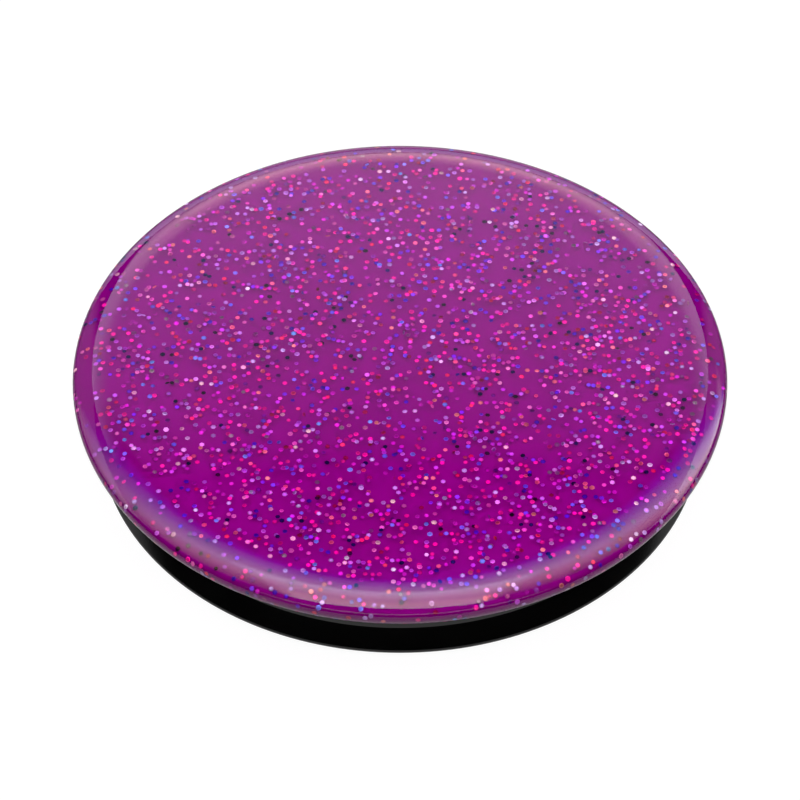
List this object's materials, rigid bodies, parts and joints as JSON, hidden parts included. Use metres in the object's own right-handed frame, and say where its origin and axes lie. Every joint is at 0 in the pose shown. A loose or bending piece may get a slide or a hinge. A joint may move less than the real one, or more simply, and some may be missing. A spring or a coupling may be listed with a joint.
{
  "type": "collapsible phone grip",
  "caption": "Round stick-on phone grip: a crowned translucent purple glitter cap on a folding black bellows that pops out of a flared base and locks with a twist.",
  "frame": {"origin": "centre of the sticky face under the adhesive pad", "axes": "+Z out of the sticky face's back, up through the middle of the cap; the locked lugs lie along X"},
  "size_m": [0.0397, 0.0396, 0.0064],
  "materials": {
    "adhesive": "soft sticky gel",
    "base_plastic": "semi-gloss moulded black",
    "bellows_rubber": "satin moulded elastomer",
    "lock_plastic": "fine matte",
    "shell_plastic": "opaque purple",
    "lens_resin": "polished translucent purple with cast-in glitter"
  },
  "bodies": {
    "base": {"adhesive_pad": "adhesive", "platform": "base_plastic"},
    "foot": {"bellows_outer_wall": "bellows_rubber", "lower_fold_web": "bellows_rubber"},
    "middle": {"bellows_middle_wall": "bellows_rubber", "upper_fold_web": "bellows_rubber"},
    "neck": {"bellows_neck": "bellows_rubber", "twist_socket": "lock_plastic"},
    "cap": {"twist_hub": "lock_plastic", "cap_shell": "shell_plastic", "cap_lens": "lens_resin"}
  },
  "joints": [
    {"name": "swivel", "type": "hinge", "parent": "base", "child": "foot", "pos_m": [0, 0, 0], "axis": [0, 0, 1], "continuous": true},
    {"name": "lower_pop", "type": "slide", "parent": "foot", "child": "middle", "axis": [0, 0, 1], "range_m": [0, 0.0067], "deforming": ["lower_fold_web"]},
    {"name": "upper_pop", "type": "slide", "parent": "middle", "child": "neck", "axis": [0, 0, 1], "range_m": [0, 0.0067], "deforming": ["upper_fold_web"]},
    {"name": "cap_twist", "type": "hinge", "parent": "neck", "child": "cap", "pos_m": [0, 0, 0], "axis": [0, 0, 1], "range_deg": [0, 90]}
  ]
}
